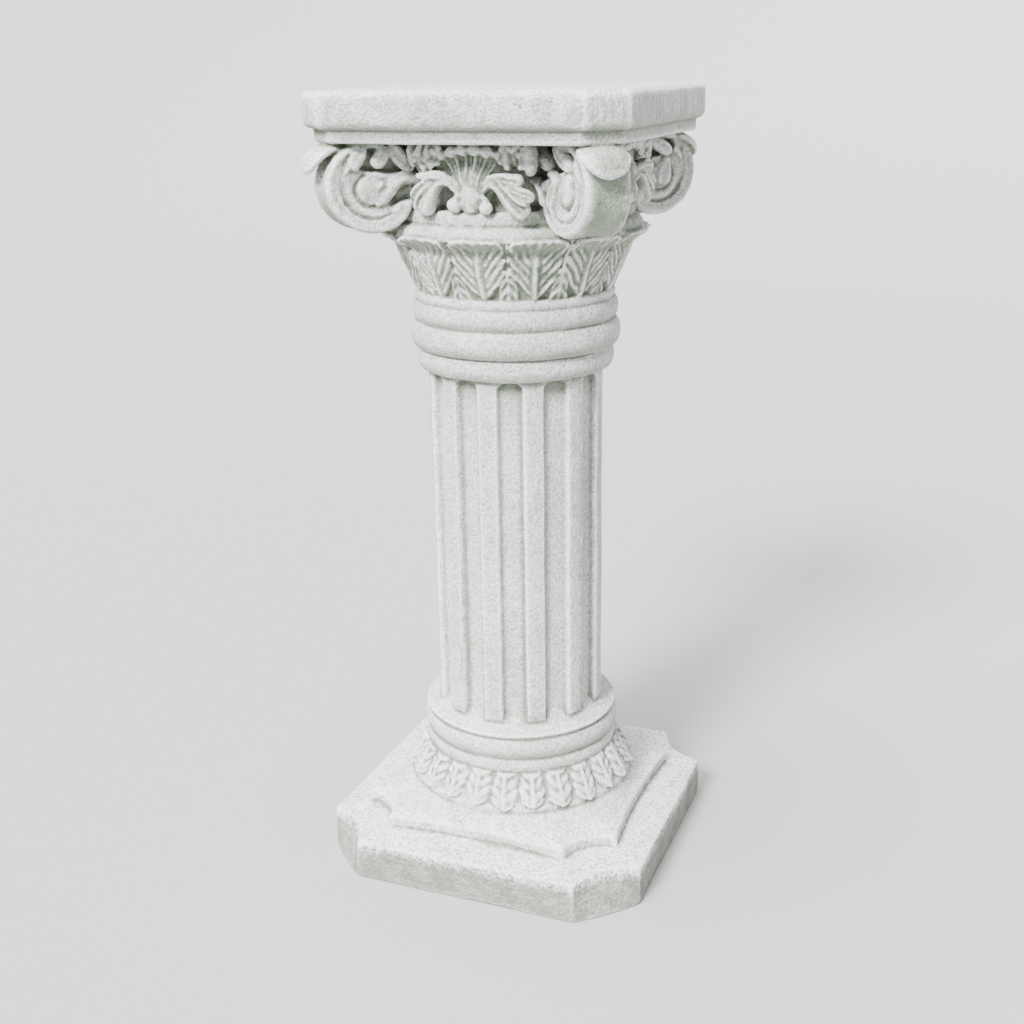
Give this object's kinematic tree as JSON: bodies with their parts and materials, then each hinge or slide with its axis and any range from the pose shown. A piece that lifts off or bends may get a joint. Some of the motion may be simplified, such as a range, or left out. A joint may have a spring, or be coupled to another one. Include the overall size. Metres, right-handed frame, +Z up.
{
  "type": "corinthian column",
  "caption": "Freestanding cast concrete column with a stepped square plinth, fluted shaft, ringed neck and a leafy capital with corner volutes under a square abacus.",
  "frame": {"origin": "centre of the plinth's underside", "axes": "+Z up along the shaft, -Y towards the front face, +X to the right of the front"},
  "size_m": [0.351, 0.351, 0.8],
  "materials": {
    "concrete": "rough cast, softly worn"
  },
  "bodies": {
    "root": {"column": "concrete"}
  },
  "joints": []
}
